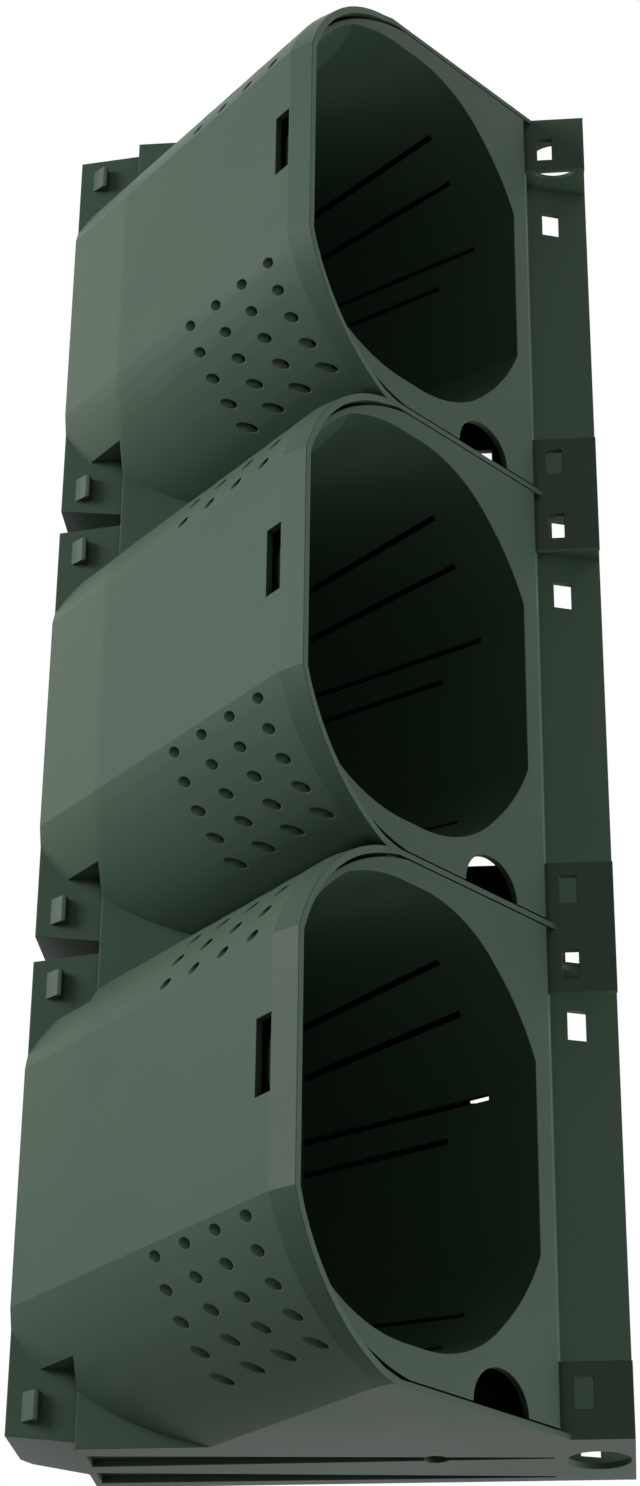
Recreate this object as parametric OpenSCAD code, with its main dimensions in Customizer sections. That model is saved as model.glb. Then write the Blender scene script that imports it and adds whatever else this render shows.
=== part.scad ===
// Three-pocket wall planter with lift-out liners over a water reservoir.
// +X runs along the row, +Z is up and -Y faces the room. The origin is the middle of the
// flat face that bears on the wall. Each module is written in a construction frame with X
// from the left seam of a pot, Y into the wall from the front of the top strip, and Z up
// from the bottom of the blocks; place() then moves it to the part's own frame.

/* [Row] */
// Distance from one pot to the next
pitch = 160; // [140:1:190]
// Depth from the front of the top strip to the wall
panel_d = 44; // [40:0.5:60]
// Height of the whole part
panel_h = 183; // [175:1:200]

/* [Pocket shell] */
// Thickness of the moulded walls
wall = 2.2; // [1.6:0.1:3]
// How far the rim band is set in from the face at the crease
band_set = 0.3; // [0.2:0.05:0.5]
// Distance from the face line to the inside of the rim band
rim_wall = 2.6; // [2.5:0.1:3]
// Thickness of the wall between two pots
divider_t = 1.8; // [1.4:0.1:3]
// How far the end walls stand out past the row of pots
end_out = 0.8; // [0.4:0.1:1.5]
// Width of the flat face down the front of each pot
face_w = 76; // [60:1:90]
// Radius of the rounded sides of each pot
side_r = 65; // [60:0.5:80]
// Depth at which the rounded sides reach the seam between pots
side_d = 41.9; // [36:0.1:46]
// Length of the front face from the bottom to the crease
face_l = 129.2; // [125:0.1:133]
// Length of the steeper rim band above the crease
band_l = 7.9; // [6:0.1:12]
// Distance behind the strip front at which the face line meets the bottom
face_foot = 1.6; // [0.5:0.1:3]

/* [Slopes] */
// Lean of the front face from upright, in degrees
face_lean = 47; // [44:0.5:49]
// Lean of the rim band from upright, in degrees
band_lean = 30; // [24:0.5:36]

/* [Vents] */
// Diameter of a vent hole
vent_d = 3.4; // [2:0.1:4.5]
// Rows of vent holes, counted round the side
vent_rows = 5; // [1:1:5]
// Vent holes in a row, counted down the slope
vent_cols = 4; // [1:1:5]
// Spacing of the rows, measured round the side
vent_row_step = 9.8; // [8:0.1:10.5]
// Spacing of the holes down the slope
vent_col_step = 14.3; // [8:0.1:18]
// Distance of the first row from the edge of the flat face
vent_edge = 3.7; // [3:0.1:5]
// Distance of the first hole below the crease
vent_drop = 12.8; // [10:0.2:24]

/* [Front window] */
// Width of the catch window
window_w = 23.4; // [16:0.1:30]
// Height of the catch window along the face
window_h = 7; // [5:0.1:10]
// Distance from the window to the crease
window_drop = 1.2; // [0.8:0.1:4]
// How far the window sits to the left of the pot's middle
window_off = 2.4; // [0:0.1:6]

/* [Blocks] */
// Height of a bottom block and of the channel that receives one
block_h = 21.4; // [18:0.1:26]
// Gap from a block's lower corner to the seam line
block_gap = 4.4; // [2:0.1:8]
// Draft of a block's ends over its height
block_draft = 2.3; // [0:0.1:3]
// Setback of the block's front behind the strip front
block_set = 4.75; // [3:0.05:8]
// Half the width of the pocket in front of the block, which clears a lower unit's bridges
nose_half = 56; // [50:0.5:56]
// Setback of the panel's front behind the strip front
skin_set = 1.5; // [0.5:0.1:2.5]
// Radius of the block's lower back edge
block_round = 3; // [2:0.5:8]
// Width of a snap tab
tab_w = 9; // [6:0.1:12]
// Height of a snap tab
tab_h = 5.2; // [3:0.1:7]
// Reach of a snap tab in front of its block
tab_out = 3; // [2:0.1:4.5]
// Distance of a snap tab above the block's bottom
tab_z = 4.7; // [3:0.1:8]
// Distance from the seam line to the middle of a tab
tab_x = 12.8; // [10:0.1:20]

/* [Channel] */
// Depth of the channel at its bottom
channel_d = 34; // [28:0.5:36]
// Extra depth of the channel at its mouth
channel_flare = 7.8; // [0:0.1:7.8]
// Half the length of a front bridge along the row
bridge_half = 22; // [18:0.5:40]
// Thickness of a front bridge
bridge_t = 2; // [1.6:0.1:3]
// Width of a rib in the channel
rib_t = 1.8; // [1.4:0.1:3]
// Diameter of the supply pipe hole
pipe_d = 19; // [12:0.5:20]
// Diameter of the drip tube hole
tube_d = 7.6; // [4:0.1:10]
// Height of the drip tube hole above the bottom
tube_z = 125; // [90:1:140]
// Distance of the drip tube hole behind the strip front
tube_y = 18.4; // [14:0.1:24]
// Width of a wall screw slot
slot_w = 10.2; // [8:0.1:14]
// Height of a wall screw slot
slot_h = 5.8; // [4:0.1:8]
// Distance from the seam line to the middle of a wall screw slot
slot_x = 17.5; // [14:0.1:40]

/* [Back] */
// Height of the middle of the wall mount above the blocks
mount_h = 19.5; // [15:0.5:60]
// Distance from the seam line to the left upright slot in the back of a pot
hang_left = 38.8; // [30:0.1:50]
// Distance from the seam line to the right upright slot in the back of a pot
hang_right = 115.3; // [105:0.1:125]
// Width of an upright slot in the back
hang_w = 4.6; // [3:0.1:7]
// Height of an upright slot in the back
hang_h = 11; // [8:0.5:16]
// Height of the wall between the upright slots and the channel
rail_h = 13; // [8:0.5:14]
// Bore of the overflow stand pipe in each block
drain_d = 8; // [4:0.5:10]
// Height of the overflow stand pipe, which sets the water level
drain_h = 36; // [20:1:40]
// Distance of the overflow stand pipe to the left of the pot's middle
drain_off = 45; // [20:1:55]
// Width of a ledge that a liner rests on
ledge_w = 3; // [2:0.1:4]
// Clearance of a block in the channel of a unit below it
stack_gap = 0.6; // [0.3:0.1:1.5]
// Depth of the two grooves in each end
groove_d = 2.4; // [1:0.1:3]
// Distance from the strip front to the lower end of the front groove
groove_y = 9; // [6:0.1:12]
// Width of each groove at its lower end
groove_w = 11.6; // [8:0.1:12]
// Width of each groove at its upper end
groove_top = 1.1; // [0.8:0.1:2]
// Width of the rib between the grooves at their lower ends
groove_rib = 6.6; // [5:0.1:8]

/* [Liner] */
// Thickness of the liner walls
liner_t = 1.8; // [1.2:0.1:2.4]
// Thickness of the liner's flange plate
plate_t = 2; // [1.6:0.1:2.6]
// Clearance between the flange plate and the walls beside and behind it
plate_gap = 0.6; // [0.3:0.05:1]
// Clearance between the flange plate and the rim band, which lets the liner lift out
front_gap = 1.2; // [1:0.05:1.6]
// Gap between the front wall of the pocket and the cup
cup_gap = 5.4; // [5:0.1:5.8]
// Gap between the rounded walls of the pocket and the cup
side_gap = 2; // [1.9:0.1:3]
// Outer radius of the cup's round ends
mouth_r = 46.3; // [44:0.1:47]
// Half the distance between the centres of the cup's round ends
mouth_half = 25.5; // [23:0.1:26]
// Outer radius of the cup's front corners
corner_r = 51.8; // [49:0.1:54]
// Distance of the front corners' centres in front of the round ends' centres
corner_q = 8; // [6:0.1:10]
// How far the cup's short straight sides stand in from its round ends
mouth_flat = 0.05; // [0.03:0.01:0.1]
// How far the mouth sits to the left of the pot's middle
mouth_off = 1.3; // [0:0.1:2]
// Half the breadth of the mouth before its back is cut straight
mouth_b = 58; // [57.5:0.1:58.5]
// Distance from the apex line to the middle of the mouth
mouth_q = 16; // [14:0.5:17]
// Distance from the apex line to the straight back of the mouth
mouth_back = 66; // [60:0.5:67]
// Length of the flange plate behind the apex line
plate_l = 73.4; // [70:0.1:75]
// Height of the cup's floor above the bottom
cup_z = 45; // [42:0.5:60]
// Clearance behind the cup
cup_back = 6; // [5:0.5:20]
// Radius of the half-round notch in the plate's edge
notch_r = 11.8; // [8:0.1:14]
// Distance from the apex line to the middle of the notch
notch_q = 48; // [40:0.5:56]
// Width of an air slot in the cup
air_w = 2; // [1:0.1:3]
// Depth of the side air slots' tops below the apex
air_top = 10.5; // [8:0.5:30]
// Length of the side air slots
air_l = 62; // [20:1:66]
// Distance from the pot's middle to the first air slot in the cup's back
back_air_x = 24; // [20:0.5:26]
// Distance between the two air slots in the cup's back
back_air_step = 11; // [8:0.5:14]
// Depth of the first back slot's top below the apex
back_air_top = 7; // [6:0.5:20]
// How much lower the second back slot starts
back_air_drop = 15; // [5:0.5:20]
// Depth of the back slots' lower ends below the apex
back_air_low = 76; // [60:1:78]
// Outer radius of the catch loop behind the window
loop_r = 13; // [10:0.1:13.5]
// Height of the loop's centre above the crease
loop_rise = 3.8; // [3:0.1:5]
// Width of the catch loop's band
loop_w = 2; // [1.5:0.1:4]
// Thickness of the catch loop
loop_t = 1.6; // [1:0.1:2]

/* [Wick] */
// Width of the wick strip
wick_w = 22; // [12:1:40]
// Thickness of the wick strip
wick_t = 2.4; // [1:0.1:4]
// Length of the wick's leg on the cup floor
wick_leg = 26; // [10:1:30]
// Gap under the wick in the reservoir
wick_gap = 1; // [0.5:0.1:3]
// Clearance of the wick in its slot
wick_clear = 0.4; // [0.1:0.1:1]

/* [Hidden] */
$fn = 96;

// One overrun for every cut, and a reach longer than any piece
cut = wall;
reach = 2 * pitch;
shell_colour = "#42554a";
liner_colour = "#3a4b41";
wick_colour = "#b9b29f";

pots = 3;
row_l = pots * pitch;
half_div = divider_t / 2;
channel_z = panel_h - block_h;
pipe_y = bridge_t + (channel_d + bridge_t) / 2 + wall;
pipe_z = channel_z + block_h / 2;
back_inner = panel_d - wall;
drain_y = (block_set + channel_d) / 2;
face_mid_z = block_h + mount_h;

// The plate and the crease share one slope, half way between the two leans
plate_tilt = (face_lean + band_lean) / 2;
face_s = [-sin(face_lean), cos(face_lean)];
face_n = [cos(face_lean), sin(face_lean)];
band_s = [-sin(band_lean), cos(band_lean)];
plate_q = [cos(plate_tilt), sin(plate_tilt)];
plate_n = [-sin(plate_tilt), cos(plate_tilt)];

// Places in the side view, as [Y, Z]
foot = [face_foot, 0];
crease = foot + face_l * face_s;
rim_front = crease + band_l * band_s;
// The apex lies on the seam, where the side is side_d deep, one plate above the crease plane
apex = crease + side_d / cos(plate_tilt - face_lean) * plate_q + plate_t * plate_n;
plate_back = apex + plate_l * plate_q;
// Centre of the rounded right side in the cross-section, as [X, depth]
arc_start = [(pitch + face_w) / 2, 0];
arc_end = [pitch, side_d];
arc_chord = norm(arc_end - arc_start);
arc_dir = (arc_end - arc_start) / arc_chord;
arc_rise = sqrt(side_r * side_r - arc_chord * arc_chord / 4);
arc_c = (arc_start + arc_end) / 2 + arc_rise * [-arc_dir[1], arc_dir[0]];
arc_first = asin((arc_start[0] - arc_c[0]) / side_r);

// The flat arc of the mouth crosses its round ends at mouth_turn, and reaches mouth_b
mouth_turn = 47.6;
mouth_p = [mouth_half + mouth_r * cos(mouth_turn), mouth_r * sin(mouth_turn)];
mouth_d = (mouth_p[0] * mouth_p[0] + mouth_p[1] * mouth_p[1] - mouth_b * mouth_b) / (mouth_b - mouth_p[1]) / 2;
cup_y = back_inner - cup_back;
// The front corners reach as far along the row as the round ends do
corner_x = mouth_half + mouth_r - corner_r;
// Places of the two side slots, as shares of the quarter turn from the end to the back, and
// the turns in degrees by which they lean towards the front on their way down
air_shares = [0.438, 0.683];
air_turns = [9.3, 6.7];

// Point on the line through a, along d, at depth y from the strip front
function at_y(a, d, y) = a + d * ((y - a[0]) / d[0]);

// Moves a module from the construction frame to the part's own frame
module place() {
    translate([-row_l / 2, -panel_d, -face_mid_z]) children();
}

// Extrudes a side-view outline, given as [Y, Z] points, from x0 to x1
module side_view(points, x0, x1) {
    translate([x0, 0, 0])
        rotate([90, 0, 90])
            linear_extrude(height = x1 - x0) polygon(points);
}

// Cross-section of a pocket, as X against depth from the front face, drawn in by inset, and
// by front more at the flat face
module pocket_outline(inset, x0, x1, front = 0) {
    intersection() {
        translate([x0, inset + front]) square([x1 - x0, reach]);
        union() {
            intersection() {
                translate(arc_c) circle(r = side_r - inset, $fn = 180);
                translate([arc_c[0] - wall, -reach]) square([reach, 2 * reach]);
            }
            intersection() {
                translate([pitch - arc_c[0], arc_c[1]]) circle(r = side_r - inset, $fn = 180);
                translate([pitch - arc_c[0] + wall - reach, -reach]) square([reach, 2 * reach]);
            }
            translate([pitch - arc_c[0], -wall]) square([2 * arc_c[0] - pitch, arc_c[1] + 2 * wall]);
            translate([-pitch, arc_c[1]]) square([3 * pitch, reach]);
        }
    }
}

// Pocket cross-section swept along the front face
module face_sweep(inset, x0, x1, front = 0) {
    translate([0, foot[0], foot[1]])
        rotate([face_lean, 0, 0])
            translate([0, 0, -reach])
                linear_extrude(height = 2 * reach) pocket_outline(inset, x0, x1, front);
}

// Pocket cross-section swept along the rim band
module band_sweep(inset, x0, x1) {
    translate([0, crease[0], crease[1]])
        rotate([band_lean, 0, 0])
            translate([0, 0, -reach])
                linear_extrude(height = 2 * reach) pocket_outline(inset, x0, x1);
}

// Corners in front of a block that stay clear for the bridges of a unit below
module nose_corners(inset, y1, z1) {
    for (x = [-pitch, pitch / 2 + nose_half - inset])
        translate([x, -reach, -cut])
            cube([pitch * 3 / 2 - nose_half + inset, reach + y1, z1 + cut]);
}

// Outside of one pot: the face and the band meet where both sweeps do
module pocket_body(x0, x1) {
    difference() {
        intersection() {
            face_sweep(0, x0, x1);
            band_sweep(band_set, x0, x1);
            side_view([[-pitch, 0], [block_set + wall, 0], [block_set + wall, block_h + wall],
                       [skin_set + wall, block_h + wall], [skin_set + wall, channel_z], [0, channel_z],
                       at_y(apex, plate_q, 0), apex, rim_front + (rim_front - apex)], x0, x1);
        }
        nose_corners(0, block_set, block_h);
    }
}

// Inside of one pot, open at the top
module pocket_hollow() {
    x0 = half_div;
    x1 = pitch - half_div;
    y_open = plate_back[0] + plate_t * sin(plate_tilt) + plate_gap;
    difference() {
        intersection() {
            face_sweep(wall, x0, x1);
            band_sweep(rim_wall, x0, x1);
            side_view([[-pitch, wall], [block_set + 2 * wall, wall],
                       [block_set + 2 * wall, block_h + wall], [back_inner, block_h + wall],
                       [back_inner, channel_z - wall], [y_open, channel_z - wall],
                       [y_open, channel_z], [cut, channel_z], [cut, panel_h + pitch],
                       [-pitch, panel_h + pitch]], x0, x1);
        }
        nose_corners(wall, pitch, block_h + wall);
    }
    // Panel hollow behind the skin, and block hollow
    translate([x0, skin_set + wall, block_h + wall])
        cube([x1 - x0, back_inner - skin_set - wall, channel_z - block_h - 2 * wall]);
    intersection() {
        block_core(wall);
        translate([0, block_set + wall, 0]) cube([pitch, panel_d, block_h + 2 * wall]);
    }
}

// Outline of one bottom block, drawn in by inset
module block_core(inset) {
    x_low = block_gap + inset;
    x_high = block_gap - block_draft + inset;
    back_low = channel_d - stack_gap - inset;
    back_high = channel_d + channel_flare - stack_gap - inset;
    intersection() {
        translate([0, reach, 0])
            rotate([90, 0, 0])
                linear_extrude(height = 2 * reach)
                    polygon([[x_low, inset], [pitch - x_low, inset],
                             [pitch - x_high, block_h + inset], [x_high, block_h + inset]]);
        side_view([[-reach, inset], [back_low - block_round, inset],
                   [back_low + channel_flare * (block_round / block_h), inset + block_round],
                   [back_high, block_h + inset], [-reach, block_h + inset]], 0, pitch);
    }
}

// One bottom block with its two snap tabs
module block() {
    intersection() {
        block_core(0);
        translate([0, block_set, 0]) cube([pitch, panel_d, block_h + cut]);
    }
    for (x = [tab_x, pitch - tab_x])
        side_view([[block_set + wall / 2, tab_z], [block_set, tab_z],
                   [block_set - tab_out, tab_z + tab_h * 3 / 4],
                   [block_set - tab_out, tab_z + tab_h],
                   [block_set + wall / 2, tab_z + tab_h]], x - tab_w / 2, x + tab_w / 2);
}

// Overflow stand pipe in a block
module stand_pipe(d, z0, z1) {
    translate([pitch / 2 - drain_off, drain_y, z0]) cylinder(d = d, h = z1 - z0, $fn = 48);
}

// Ledge under the right-hand side of a flange plate; a notched one is cut away below the notch
module ledge(notched) {
    difference() {
        on_plate()
            translate([pitch - half_div - ledge_w, ledge_w, -plate_t - wall])
                cube([ledge_w + half_div / 2, plate_l - 3 * ledge_w, wall]);
        if (notched) on_plate()
            translate([pitch - half_div - plate_gap, notch_q, -plate_t - 2 * wall])
                cylinder(r = notch_r + wall, h = 3 * wall);
    }
}

// Grid of vent holes in the right-hand side of a pot, cut upright, as the mould opens
module vents() {
    translate([0, foot[0], foot[1]])
        rotate([face_lean, 0, 0])
            for (row = [0 : vent_rows - 1], col = [0 : vent_cols - 1]) {
                turn = arc_first + (vent_edge + row * vent_row_step) / side_r * 180 / PI;
                translate([arc_c[0] + side_r * sin(turn), arc_c[1] - side_r * cos(turn),
                           face_l - vent_drop - col * vent_col_step])
                    rotate([-face_lean, 0, 0])
                        cylinder(d = vent_d, h = 8 * wall, center = true, $fn = 24);
            }
}

// Catch window in the front face
module window() {
    translate([pitch / 2 - window_off - window_w / 2, foot[0], foot[1]])
        rotate([face_lean, 0, 0])
            translate([0, -cut, face_l - window_drop - window_h])
                cube([window_w, wall + 2 * cut, window_h]);
}

// Everything cut from one pot
module pot_cuts() {
    pocket_hollow();
    vents();
    translate([pitch, 0, 0]) mirror([1, 0, 0]) vents();
    window();
    // Two small upright slots in the back, under the channel
    for (x = [hang_left, hang_right])
        translate([x - hang_w / 2, back_inner - cut, channel_z - wall - rail_h - hang_h])
            cube([hang_w, wall + 2 * cut, hang_h]);
}

// Channel along the top: sloped back, ribs with pipe holes and front bridges
module channel() {
    side_view([[channel_d, channel_z - wall / 2], [channel_d + channel_flare, panel_h],
               [channel_d + channel_flare + wall, panel_h], [channel_d + wall, channel_z - wall / 2]],
              -end_out, row_l + end_out);
    for (i = [0 : pots]) {
        rib_x = i * pitch - rib_t / 2 + (i == 0 ? (rib_t / 2 - end_out) : 0)
                + (i == pots ? (end_out - rib_t / 2) : 0);
        translate([rib_x, 0, channel_z - wall / 2])
            cube([rib_t, panel_d, block_h + wall / 2]);
        b0 = max(i * pitch - bridge_half, -end_out);
        b1 = min(i * pitch + bridge_half, row_l + end_out);
        translate([b0, 0, channel_z - wall / 2]) cube([b1 - b0, bridge_t, block_h + wall / 2]);
    }
}

// Holes of the channel: pipe holes, snap holes in the bridges and wall screw slots
module channel_cuts() {
    translate([-end_out - cut, pipe_y, pipe_z])
        rotate([0, 90, 0]) cylinder(d = pipe_d, h = row_l + 2 * end_out + 2 * cut);
    for (i = [0 : pots - 1]) {
        for (x = [tab_x, pitch - tab_x])
            translate([i * pitch + x - tab_w / 2 - plate_gap / 2, -cut, channel_z + tab_z])
                cube([tab_w + plate_gap, bridge_t + 2 * cut, tab_h]);
        translate([i * pitch + slot_x - slot_w / 2, channel_d - cut, channel_z + block_h / 4])
            cube([slot_w, channel_flare + 2 * cut + wall, slot_h]);
        translate([(i + 1) * pitch - tab_x, channel_d - cut, channel_z + block_h / 4])
            cube([tab_x - block_gap, channel_flare + 2 * cut + wall, slot_h]);
    }
}

// Two tapered grooves in the right-hand end, and the drip tube hole
module end_cuts() {
    x = row_l + end_out;
    low = block_h + wall;
    high = channel_z - wall;
    y_rear = groove_y + groove_w + groove_rib;
    side_view([[groove_y, low], [groove_y + groove_w, low], [tube_y + groove_top, high], [tube_y, high]],
              x - groove_d, x + cut);
    side_view([[y_rear, low], [y_rear + groove_w, low], [y_rear + groove_w + groove_top, high],
               [y_rear + groove_w, high]], x - groove_d, x + cut);
    translate([x - 3 * wall, tube_y, tube_z])
        rotate([0, 90, 0]) cylinder(d = tube_d, h = 4 * wall);
}

// Pockets, blocks and panel, hollowed
module shell_body() {
    difference() {
        union() {
            for (i = [0 : pots - 1])
                translate([i * pitch, 0, 0]) {
                    pocket_body(i == 0 ? -end_out : -half_div, pitch + (i == pots - 1 ? end_out : half_div));
                    block();
                }
            translate([-end_out, skin_set, block_h])
                cube([row_l + 2 * end_out, panel_d - skin_set, channel_z - block_h]);
        }
        for (i = [0 : pots - 1]) translate([i * pitch, 0, 0]) pot_cuts();
    }
}

// What stands inside the pots: stand pipes and ledges
module inside_parts() {
    for (i = [0 : pots - 1])
        translate([i * pitch, 0, 0]) {
            stand_pipe(drain_d + 2 * wall, wall / 2, drain_h);
            ledge(true);
            translate([pitch, 0, 0]) mirror([1, 0, 0]) ledge(false);
        }
}

// Outer shell: one moulding with pockets, reservoir, blocks, channel and wall face
module outer_shell() {
    color(shell_colour) place() difference() {
        union() {
            shell_body();
            channel();
            inside_parts();
            // The ends are thicker behind the panel front, to carry their grooves
            for (x = [-end_out, row_l + end_out - 2 * wall])
                translate([x, skin_set, block_h])
                    cube([2 * wall, panel_d - skin_set, channel_z - block_h]);
        }
        channel_cuts();
        for (i = [0 : pots - 1]) translate([i * pitch, 0, 0]) stand_pipe(drain_d, -cut, drain_h + cut);
        end_cuts();
        translate([row_l, 0, 0]) mirror([1, 0, 0]) end_cuts();
    }
}

// Plate frame: x along the row, y back along the plate from the apex line, z out of it
module on_plate() {
    translate([0, apex[0], apex[1]]) rotate([plate_tilt, 0, 0]) children();
}

// Mouth outline in the cup frame, drawn in by inset: round ends, wider front corners, and a
// flat arc behind that is cut straight
module mouth_outline(inset) {
    side = mouth_half + mouth_r - mouth_flat - inset;
    intersection() {
        translate([pitch / 2 - mouth_off, mouth_q]) {
            for (x = [-mouth_half, mouth_half]) translate([x, 0]) circle(r = mouth_r - inset, $fn = 128);
            for (x = [-corner_x, corner_x])
                translate([x, -corner_q]) circle(r = corner_r - inset, $fn = 128);
            translate([-side, -corner_q]) square([2 * side, corner_q]);
            intersection() {
                translate([0, -mouth_d]) circle(r = mouth_b + mouth_d - inset, $fn = 180);
                translate([-mouth_p[0] - wall, 0]) square([2 * (mouth_p[0] + wall), pitch]);
            }
        }
        translate([0, -pitch]) square([pitch, pitch + mouth_back + liner_t - inset]);
    }
}

// Cup frame: as the plate frame, but leaning as the rim band does
module on_cup() {
    translate([0, apex[0], apex[1]]) rotate([band_lean, 0, 0]) children();
}

// Inside or outside of the cup, drawn in by inset, up to top in the plate frame
module cup_form(inset, top) {
    intersection() {
        on_cup() translate([0, 0, -reach]) linear_extrude(height = 2 * reach) mouth_outline(inset);
        on_plate() translate([0, -reach, -reach]) cube([pitch, 2 * reach, reach + top]);
        face_sweep(wall + side_gap + inset, 0, pitch, cup_gap - side_gap);
        translate([0, -reach, cup_z + inset]) cube([pitch, reach + cup_y - inset, reach]);
    }
}

// Air slots in the sides of the cup, and two in its back
module air_slots() {
    on_cup() {
        for (side = [-1, 1], slot = [0, 1])
            translate([pitch / 2 - mouth_off + side * mouth_half, mouth_q, -air_top])
                rotate([0, 0, -side * (90 - 90 * air_shares[slot])])
                    rotate([0, side * air_turns[slot], 0])
                        translate([-air_w / 2, mouth_r - 4 * liner_t, -air_l])
                            cube([air_w, 8 * liner_t, air_l]);
        for (slot = [0, 1])
            translate([pitch / 2 - back_air_x + slot * back_air_step - air_w / 2,
                       mouth_back - 2 * liner_t, -back_air_low])
                cube([air_w, 4 * liner_t, back_air_low - back_air_top - slot * back_air_drop]);
    }
}

// Flange plate of a liner
module plate() {
    intersection() {
        on_plate() translate([0, -pitch, -plate_t]) cube([pitch, pitch + plate_l, plate_t]);
        band_sweep(rim_wall + front_gap, half_div + plate_gap, pitch - half_div - plate_gap);
    }
}

// Catch loop that shows in the front window
module catch_loop() {
    translate([pitch / 2 - window_off, foot[0], foot[1]])
        rotate([face_lean, 0, 0])
            translate([0, wall + front_gap + loop_t * 3 / 2, face_l + loop_rise])
                rotate([90, 0, 0])
                    linear_extrude(height = loop_t)
                        difference() {
                            circle(r = loop_r);
                            circle(r = loop_r - loop_w);
                            translate([-reach, plate_t / 2 - loop_rise]) square([2 * reach, reach]);
                        }
}

// Liner: cup, flange plate and catch loop in one moulding
module liner() {
    color(liner_colour) difference() {
        union() {
            cup_form(0, -plate_t / 2);
            plate();
            catch_loop();
        }
        cup_form(liner_t, cut);
        air_slots();
        on_plate()
            translate([pitch - half_div - plate_gap, notch_q, -plate_t - cut])
                cylinder(r = notch_r, h = plate_t + 2 * cut);
        translate([pitch / 2 - wick_w / 2 - wick_clear, wick_y - wick_clear, cup_z - cut])
            cube([wick_w + 2 * wick_clear, wick_t + 2 * wick_clear, liner_t + 2 * cut]);
    }
}

// The wick hangs through the middle of the cup floor
wick_y = block_set + 2 * wall;

// Wick: a felt strip lying on the cup floor and hanging into the reservoir
module wick() {
    color(wick_colour) translate([pitch / 2 - wick_w / 2, wick_y, 0]) {
        translate([0, 0, wall + wick_gap])
            cube([wick_w, wick_t, cup_z + liner_t - wall - wick_gap + wick_t]);
        translate([0, -wick_leg + wick_t, cup_z + liner_t]) cube([wick_w, wick_leg, wick_t]);
    }
}

module liner_left() { place() liner(); }
module liner_middle() { place() translate([pitch, 0, 0]) liner(); }
module liner_right() { place() translate([2 * pitch, 0, 0]) liner(); }
module wick_left() { place() wick(); }
module wick_middle() { place() translate([pitch, 0, 0]) wick(); }
module wick_right() { place() translate([2 * pitch, 0, 0]) wick(); }

outer_shell();
liner_left();
liner_middle();
liner_right();
wick_left();
wick_middle();
wick_right();
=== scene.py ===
import math

import bmesh
import bpy
from mathutils import Matrix, Vector


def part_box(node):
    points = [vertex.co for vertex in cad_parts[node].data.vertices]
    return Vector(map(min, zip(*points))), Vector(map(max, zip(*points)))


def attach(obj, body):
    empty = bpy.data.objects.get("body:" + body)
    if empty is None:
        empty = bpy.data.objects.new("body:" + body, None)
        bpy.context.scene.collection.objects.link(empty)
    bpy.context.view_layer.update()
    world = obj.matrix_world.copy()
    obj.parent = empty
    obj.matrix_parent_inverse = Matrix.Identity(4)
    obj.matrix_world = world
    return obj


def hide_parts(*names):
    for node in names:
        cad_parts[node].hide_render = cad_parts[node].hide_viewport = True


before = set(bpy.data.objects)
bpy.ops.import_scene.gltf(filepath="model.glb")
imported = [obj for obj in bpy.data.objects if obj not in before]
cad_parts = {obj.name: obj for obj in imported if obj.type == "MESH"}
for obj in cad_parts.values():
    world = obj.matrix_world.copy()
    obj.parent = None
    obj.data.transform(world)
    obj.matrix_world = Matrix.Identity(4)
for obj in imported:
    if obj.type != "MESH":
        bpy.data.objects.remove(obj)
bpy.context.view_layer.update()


# Outer shell: one injection moulding in dark green polypropylene that holds the pockets, the
# water reservoir, the stacking blocks and the channel. The tool was spark-eroded to a fine matt
# texture. Below a faint step the pockets' fronts get a painted highlight, paler where light falls
# on the face there, and painted shade darkens the inner corners towards brown.


def linear(hex_colour):
    """An sRGB hex colour as the linear RGBA that a shader takes."""
    channels = [int(hex_colour[i : i + 2], 16) / 255 for i in (1, 3, 5)]
    return [c / 12.92 if c <= 0.04045 else ((c + 0.055) / 1.055) ** 2.4 for c in channels] + [1.0]


def add_node(tree, kind, links=None, **settings):
    """Adds a node; links maps an input's name or number to a value or to an output socket."""
    node = tree.nodes.new(kind)
    for name, value in settings.items():
        setattr(node, name, value)
    for name, value in (links or {}).items():
        if isinstance(value, bpy.types.NodeSocket):
            tree.links.new(value, node.inputs[name])
        else:
            node.inputs[name].default_value = value
    return node


def empty_material(name):
    """A material with an empty node tree."""
    material = bpy.data.materials.new(name)
    material.use_nodes = True
    material.node_tree.nodes.clear()
    return material


def mix_colours(tree, factor, first, second, blend="MIX"):
    """The mix of two colours, as an output socket."""
    mix = add_node(
        tree,
        "ShaderNodeMix",
        {"Factor": factor, 6: first, 7: second},
        data_type="RGBA",
        blend_type=blend,
    )
    return mix.outputs[2]


def ramp(tree, value, start, end):
    """0 up to start and 1 from end on, with a smooth step between."""
    step = add_node(
        tree,
        "ShaderNodeMapRange",
        {"Value": value, "From Min": start, "From Max": end},
        interpolation_type="SMOOTHSTEP",
    )
    return step.outputs["Result"]


def product(tree, first, second):
    """The product of two values, as an output socket."""
    return add_node(tree, "ShaderNodeMath", {0: first, 1: second}, operation="MULTIPLY").outputs[0]


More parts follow.
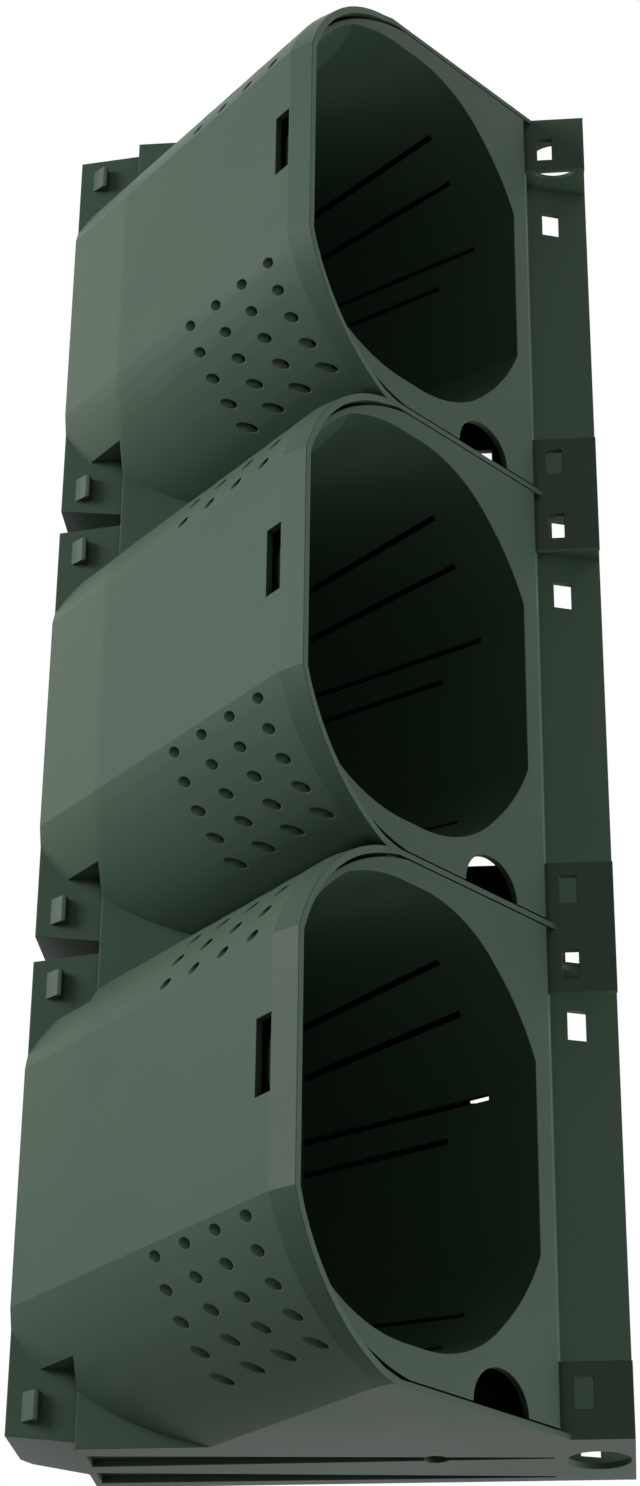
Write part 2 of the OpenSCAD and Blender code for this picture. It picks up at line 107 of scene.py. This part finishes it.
def moulded_plastic(name, base, cloudy, pale, roughness):
    """Matt moulded polypropylene: grain, flow clouds, painted highlight and corner shade, broken
    edges.
    """
    material = empty_material(name)
    tree = material.node_tree
    place = add_node(tree, "ShaderNodeTexCoord")
    # Flow clouds about 60 mm across, where the melt cooled unevenly
    cloud = add_node(
        tree,
        "ShaderNodeTexNoise",
        {"Vector": place.outputs["Object"], "Scale": 16.0, "Detail": 3.0, "Roughness": 0.5},
    )
    skin_colour = mix_colours(tree, cloud.outputs["Fac"], linear(base), linear(cloudy))
    # Painted highlight: a paler skin in front of the strip, and below a step about 19 mm under the
    # origin
    step_top_z, step_bottom_z = -0.0175, -0.0205
    strip_y, pocket_y = -0.0400, -0.0410
    # The painted highlight fades out from the left pocket to the right one
    faded_x, full_x = 0.22, -0.05
    axes = add_node(tree, "ShaderNodeSeparateXYZ", {"Vector": place.outputs["Object"]})
    low = ramp(tree, axes.outputs["Z"], step_top_z, step_bottom_z)
    front = ramp(tree, axes.outputs["Y"], strip_y, pocket_y)
    left = ramp(tree, axes.outputs["X"], faded_x, full_x)
    painted_highlight_share = product(tree, product(tree, low, front), left)
    skin_colour = mix_colours(tree, painted_highlight_share, skin_colour, linear(pale))
    # Painted shade: corners, seams and gaps within 5 mm of another face are darkened towards brown
    painted_shade_reach = 0.005
    corner = add_node(tree, "ShaderNodeAmbientOcclusion", {"Distance": painted_shade_reach}, samples=4)
    unshaded_share = ramp(tree, corner.outputs["AO"], 0.25, 0.85)
    skin_colour = mix_colours(tree, unshaded_share, linear("#1b1c17"), skin_colour)
    # The eroded grain is about 0.2 mm on the real tool; it is drawn at 0.6 mm to show here
    grain = add_node(
        tree,
        "ShaderNodeTexNoise",
        {"Vector": place.outputs["Object"], "Scale": 1600.0, "Detail": 2.0, "Roughness": 0.6},
    )
    # The clouds vary the gloss a little as well
    roughness_spread = 0.04
    gloss = add_node(
        tree,
        "ShaderNodeMapRange",
        {
            "Value": cloud.outputs["Fac"],
            "From Min": 0.3,
            "From Max": 0.7,
            "To Min": roughness - roughness_spread,
            "To Max": roughness + roughness_spread,
        },
    )
    # Edges of a moulding are broken to about 0.5 mm
    edge_radius = 0.0005
    edge = add_node(tree, "ShaderNodeBevel", {"Radius": edge_radius}, samples=6)
    bump = add_node(
        tree,
        "ShaderNodeBump",
        {
            "Strength": 0.12,
            "Distance": 0.0001,
            "Height": grain.outputs["Fac"],
            "Normal": edge.outputs["Normal"],
        },
    )
    # An eroded skin throws back less light than a polished one of the same plastic
    polypropylene_ior = 1.49
    eroded_gloss = 0.13
    skin = add_node(
        tree,
        "ShaderNodeBsdfPrincipled",
        {
            "Base Color": skin_colour,
            "Roughness": gloss.outputs["Result"],
            "IOR": polypropylene_ior,
            "Specular IOR Level": eroded_gloss,
            "Normal": bump.outputs["Normal"],
        },
    )
    add_node(tree, "ShaderNodeOutputMaterial", {"Surface": skin.outputs["BSDF"]})
    return material


def finish_node(node_name, material):
    """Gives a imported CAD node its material."""
    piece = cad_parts[node_name]
    for index in range(len(piece.material_slots)):
        piece.material_slots[index].material = material


# The shell's third colour is its painted highlight on the low fronts
shell_plastic = moulded_plastic("moulded_polypropylene_shell", "#3a4d3f", "#435647", "#4a5a4b", 0.46)
finish_node("outer_shell", shell_plastic)


# Liners: a thinner moulding in the same green polypropylene, which drops into each pocket. Its
# flange plate closes the mouth and its cup holds the soil. It lifts out by hand, so its skin is
# a little darker and smoother than the shell's.

liner_plastic = moulded_plastic("moulded_polypropylene_liner", "#384a3d", "#3f5244", "#384a3d", 0.42)
for side in ("left", "middle", "right"):
    finish_node("liner_" + side, liner_plastic)


# Wicks: strips of needle-punched viscose felt, 22 mm wide, that lie on the cup's floor and bend
# down through its slot into the water. Felt has no weave: it reads as soft, mottled and dull,
# with loose fibres on its faces and a slightly uneven thickness.

felt = empty_material("needle_felt_wick")
tree = felt.node_tree
place = add_node(tree, "ShaderNodeTexCoord")
# Fibre bundles about 1 mm long, twisted by the needling
fibres = add_node(
    tree,
    "ShaderNodeTexNoise",
    {"Vector": place.outputs["Object"], "Scale": 900.0, "Detail": 4.0, "Distortion": 1.5},
)
# Damp patches about 8 mm across
damp = add_node(
    tree,
    "ShaderNodeTexNoise",
    {"Vector": place.outputs["Object"], "Scale": 120.0, "Detail": 2.0},
)
dry_tone = mix_colours(tree, fibres.outputs["Fac"], linear("#a39c88"), linear("#cfc8b4"))
damp_share = ramp(tree, damp.outputs["Fac"], 0.45, 0.62)
felt_tone = mix_colours(tree, damp_share, dry_tone, linear("#8d8570"))
nap = add_node(
    tree,
    "ShaderNodeBump",
    {"Strength": 0.6, "Distance": 0.0004, "Height": fibres.outputs["Fac"]},
)
cloth = add_node(
    tree,
    "ShaderNodeBsdfPrincipled",
    {
        "Base Color": felt_tone,
        "Roughness": 0.95,
        "Sheen Weight": 0.3,
        "Normal": nap.outputs["Normal"],
    },
)
add_node(tree, "ShaderNodeOutputMaterial", {"Surface": cloth.outputs["BSDF"]})


def wick_route(leg, drop, bend, step):
    """Points and normals along the strip's middle: leg back, a quarter bend, then drop down."""
    route = []
    count = round(leg / step)
    for i in range(count):
        route.append((Vector((0.0, leg * i / count, 0.0)), Vector((0.0, 0.0, 1.0))))
    turns = 8
    for i in range(turns):
        angle = math.pi / 2 * i / turns
        point = Vector((0.0, leg + bend * math.sin(angle), bend * (math.cos(angle) - 1)))
        route.append((point, Vector((0.0, math.sin(angle), math.cos(angle)))))
    count = round(drop / step)
    for i in range(count + 1):
        point = Vector((0.0, leg + bend, -bend - drop * i / count))
        route.append((point, Vector((0.0, 1.0, 0.0))))
    return route


def felt_strip(name, corner, width, thick, leg, drop, bend, phase):
    """A closed felt strip with soft edges and an uneven thickness, from corner onwards."""
    mesh = bmesh.new()
    around = 32
    rings = []
    for along, (point, normal) in enumerate(wick_route(leg, drop, bend, 0.0015)):
        ring = []
        for i in range(around):
            angle = 2 * math.pi * (i + 0.5) / around
            # A rounded oblong: the sides bulge only at the strip's edges
            across = math.copysign(abs(math.cos(angle)) ** 0.35, math.cos(angle))
            through = math.copysign(abs(math.sin(angle)) ** 0.35, math.sin(angle))
            uneven = 0.955 + 0.03 * math.sin(0.9 * along + 5 * across + phase)
            uneven += 0.015 * math.sin(2.3 * along - 9 * across + 2 * phase)
            ragged = 0.985 + 0.012 * math.sin(1.7 * along + phase)
            sideways = Vector((across * ragged * width / 2, 0.0, 0.0)) + point
            outwards = normal * (through * uneven * thick / 2)
            ring.append(mesh.verts.new(corner + sideways + outwards))
        rings.append(ring)
    for first, second in zip(rings, rings[1:]):
        for i in range(around):
            j = (i + 1) % around
            mesh.faces.new((first[i], first[j], second[j], second[i]))
    mesh.faces.new(list(reversed(rings[0])))
    mesh.faces.new(rings[-1])
    bmesh.ops.recalc_face_normals(mesh, faces=mesh.faces)
    data = bpy.data.meshes.new(name)
    mesh.to_mesh(data)
    mesh.free()
    data.polygons.foreach_set("use_smooth", [len(p.vertices) == 4 for p in data.polygons])
    strip = bpy.data.objects.new(name, data)
    bpy.context.scene.collection.objects.link(strip)
    return strip


for number, side in enumerate(("left", "middle", "right")):
    low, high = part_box("wick_" + side)
    wick_thick = 0.0024
    wick_bend = 0.0012
    end_gap = 0.0001
    front_end = Vector(((low[0] + high[0]) / 2, low[1] + end_gap, high[2] - wick_thick / 2))
    strip = felt_strip(
        "felt_strip_" + side,
        corner=front_end,
        width=high[0] - low[0],
        thick=wick_thick,
        leg=high[1] - low[1] - end_gap - wick_thick / 2 - wick_bend,
        drop=high[2] - low[2] - end_gap - wick_thick / 2 - wick_bend,
        bend=wick_bend,
        phase=1.9 * number,
    )
    strip.data.materials.append(felt)
    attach(strip, "pot_" + side)
    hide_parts("wick_" + side)


# Stage: a plain pale floor far below the row, under the lower of the two soft boxes. Camera,
# glossy and transmission rays see the world as white, and it lights the object only faintly.


def seen_directly(tree):
    """1 for camera, glossy and transmission rays, 0 for the rest."""
    path = add_node(tree, "ShaderNodeLightPath")
    kinds = ("Is Camera Ray", "Is Glossy Ray", "Is Transmission Ray")
    seen = path.outputs[kinds[0]]
    for kind in kinds[1:]:
        larger = {0: seen, 1: path.outputs[kind]}
        seen = add_node(tree, "ShaderNodeMath", larger, operation="MAXIMUM").outputs[0]
    return seen


floor_mesh = bpy.data.meshes.new("floor")
floor_half = 4.0
floor_z = -1.8
floor_corners = [
    (x * floor_half, y * floor_half, floor_z) for x, y in ((-1, -1), (1, -1), (1, 1), (-1, 1))
]
floor_mesh.from_pydata(floor_corners, [], [(0, 1, 2, 3)])
floor = bpy.data.objects.new("floor", floor_mesh)
bpy.context.scene.collection.objects.link(floor)

paper = empty_material("pale_floor_paper")
tree = paper.node_tree
white = (1.0, 1.0, 1.0, 1.0)
matt = add_node(tree, "ShaderNodeBsdfDiffuse", {"Color": (0.8, 0.8, 0.8, 1.0)})
# The floor's own light brings it near white where it is seen, and it still takes the shadow
lift = add_node(
    tree,
    "ShaderNodeEmission",
    {"Color": white, "Strength": product(tree, seen_directly(tree), 0.7)},
)
both = add_node(tree, "ShaderNodeAddShader", {0: matt.outputs[0], 1: lift.outputs[0]})
add_node(tree, "ShaderNodeOutputMaterial", {"Surface": both.outputs[0]})
floor_mesh.materials.append(paper)

world = bpy.data.worlds.new("studio")
bpy.context.scene.world = world
world.use_nodes = True
world.node_tree.nodes.clear()
tree = world.node_tree
soft = add_node(tree, "ShaderNodeBackground", {"Color": white, "Strength": 0.16})
bright = add_node(tree, "ShaderNodeBackground", {"Color": white, "Strength": 1.0})
both = add_node(
    tree,
    "ShaderNodeMixShader",
    {0: seen_directly(tree), 1: soft.outputs[0], 2: bright.outputs[0]},
)
add_node(tree, "ShaderNodeOutputWorld", {"Surface": both.outputs[0]})


def soft_box(name, place, target, size, power):
    """A square area lamp at place that faces target."""
    lamp = bpy.data.lights.new(name, "AREA")
    lamp.shape = "SQUARE"
    lamp.size = size
    lamp.energy = power
    box = bpy.data.objects.new(name, lamp)
    bpy.context.scene.collection.objects.link(box)
    box.location = place
    box.rotation_euler = (Vector(target) - Vector(place)).to_track_quat("-Z", "Y").to_euler()


row_middle = (0.0, -0.04, 0.04)
box_size = 0.9
soft_box("key_from_below_left", (-0.45, -0.626, -1.248), row_middle, box_size, 24.5)
soft_box("fill_from_above", (0.45, -0.04, 1.47), row_middle, box_size, 17.8)


# Camera: the photograph shows the row turned by a quarter, so its right is the real up. The
# place, turn and lens come from a fit to features that repeat from pot to pot.

camera_data = bpy.data.cameras.new("camera")
camera = bpy.data.objects.new("camera", camera_data)
bpy.context.scene.collection.objects.link(camera)
image_right = Vector((-0.00954, 0.09380, 0.99554))
image_down = Vector((0.87595, 0.48099, -0.03693))
view = Vector((-0.48231, 0.87169, -0.08676))
camera_place = Vector((0.47897, -0.89857, 0.13620))
turn = Matrix((image_right, -image_down, -view)).transposed()
camera.matrix_world = Matrix.Translation(camera_place) @ turn.to_4x4()
camera_data.sensor_fit = "VERTICAL"
camera_data.sensor_height = 36.0
camera_data.lens = 73.3
camera_data.shift_x = -0.0033
camera_data.shift_y = -0.0109
camera_data.clip_start = 0.01
bpy.context.scene.camera = camera

bpy.context.scene.view_settings.view_transform = "Standard"
